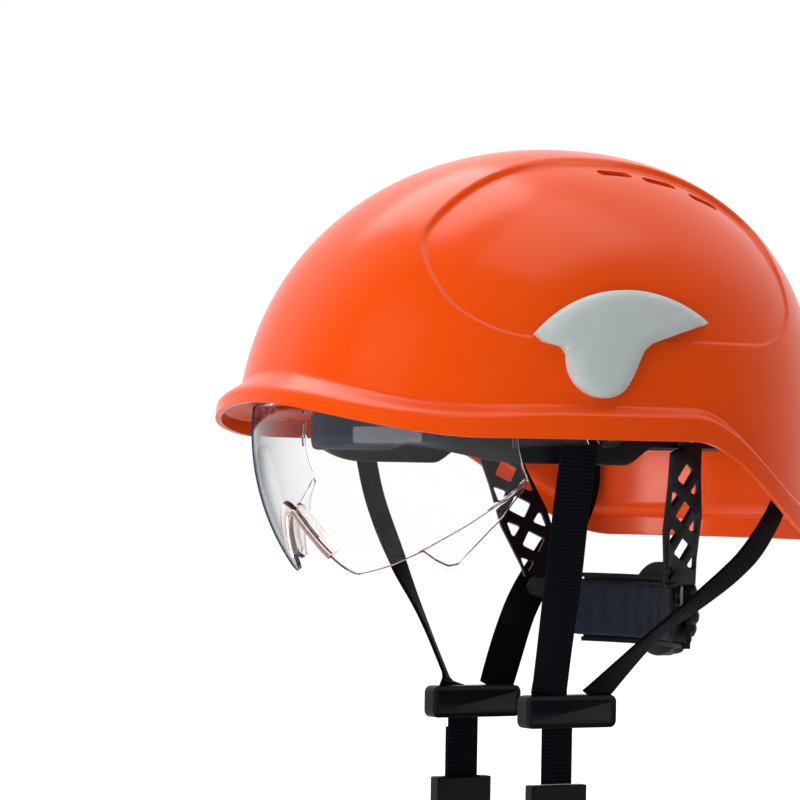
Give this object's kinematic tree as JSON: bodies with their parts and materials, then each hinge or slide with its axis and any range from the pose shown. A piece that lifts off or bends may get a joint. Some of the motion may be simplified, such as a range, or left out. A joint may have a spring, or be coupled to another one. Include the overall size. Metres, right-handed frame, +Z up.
{
  "type": "hard hat",
  "caption": "Orange hard hat with a clear lift-up half visor, grey side plates, textile cradle, ratchet nape band and webbing chin strap.",
  "frame": {"origin": "centre of the headband's lower edge, where the hat sits on a head", "axes": "+Z up towards the crown, -Y the front with the visor, +X the wearer's left"},
  "size_m": [0.2184, 0.2752, 0.3504],
  "materials": {
    "cap_shell": "gloss moulded ABS, orange",
    "side_plate": "satin moulded, light grey",
    "clear_lens": "clear polished polycarbonate",
    "soft_clear": "clear soft moulding",
    "black_plastic": "satin moulded nylon, black",
    "webbing": "woven polyester webbing, black",
    "foam_pad": "soft knit over foam, dark grey",
    "steel": "bright drawn pin"
  },
  "bodies": {
    "helmet": {"shell": "cap_shell", "side_plate_left": "side_plate", "side_plate_right": "side_plate", "hinge_pin_left": "black_plastic", "hinge_pin_right": "black_plastic", "headband": "black_plastic", "band_lugs": "black_plastic", "brow_pad": "foam_pad", "crown_strap_a": "webbing", "crown_strap_b": "webbing", "crown_pad": "foam_pad", "crown_hooks": "black_plastic", "strap_buttons": "black_plastic", "front_strap_left": "webbing", "front_strap_right": "webbing", "rear_strap_left": "webbing", "rear_strap_right": "webbing", "divider_left": "black_plastic", "divider_right": "black_plastic", "chin_webbing": "webbing", "buckle_webbing": "webbing", "buckle_female": "black_plastic", "chin_pad": "foam_pad", "strap_tail": "webbing", "nape_pins": "steel"},
    "visor_body": {"visor": "clear_lens", "nose_bridge": "soft_clear", "visor_tabs": "clear_lens"},
    "nape_body": {"nape_arm_left": "black_plastic", "nape_arm_right": "black_plastic", "nape_cradle": "black_plastic", "nape_pad": "foam_pad", "ratchet_housing": "black_plastic"},
    "knob_body": {"ratchet_knob": "black_plastic", "pinion": "black_plastic"},
    "rack_left_body": {"rack_left": "black_plastic"},
    "rack_right_body": {"rack_right": "black_plastic"},
    "buckle_body": {"buckle_male": "black_plastic"},
    "slider_body": {"strap_slider": "black_plastic"}
  },
  "joints": [
    {"name": "visor_hinge", "type": "hinge", "parent": "helmet", "child": "visor_body", "pos_m": [0, -0.0215, 0.006], "axis": [-1, 0, 0], "range_deg": [0, 42]},
    {"name": "nape_tilt", "type": "hinge", "parent": "helmet", "child": "nape_body", "pos_m": [0, 0.032, 0.006], "axis": [1, 0, 0], "range_deg": [-6, 6]},
    {"name": "knob_turn", "type": "hinge", "parent": "nape_body", "child": "knob_body", "pos_m": [0, 0.07, -0.071], "axis": [0, 1, 0], "range_deg": [-90, 90]},
    {"name": "rack_left_run", "type": "hinge", "parent": "nape_body", "child": "rack_left_body", "pos_m": [0, -0.0166, -0.071], "axis": [0, 0, 1], "range_deg": [-6, 6]},
    {"name": "rack_right_run", "type": "hinge", "parent": "nape_body", "child": "rack_right_body", "pos_m": [0, -0.0166, -0.071], "axis": [0, 0, 1], "range_deg": [-6, 6]},
    {"name": "buckle_release", "type": "slide", "parent": "helmet", "child": "buckle_body", "axis": [0, 0, 1], "range_m": [0, 0.016], "deforming": ["buckle_webbing"]},
    {"name": "slider_run", "type": "slide", "parent": "helmet", "child": "slider_body", "axis": [0, 0, 1], "range_m": [-0.012, 0.012]}
  ],
  "couplings": [
    {"joint": "rack_left_run", "follows": "knob_turn", "ratio": -0.06494},
    {"joint": "rack_right_run", "follows": "knob_turn", "ratio": 0.06494}
  ]
}
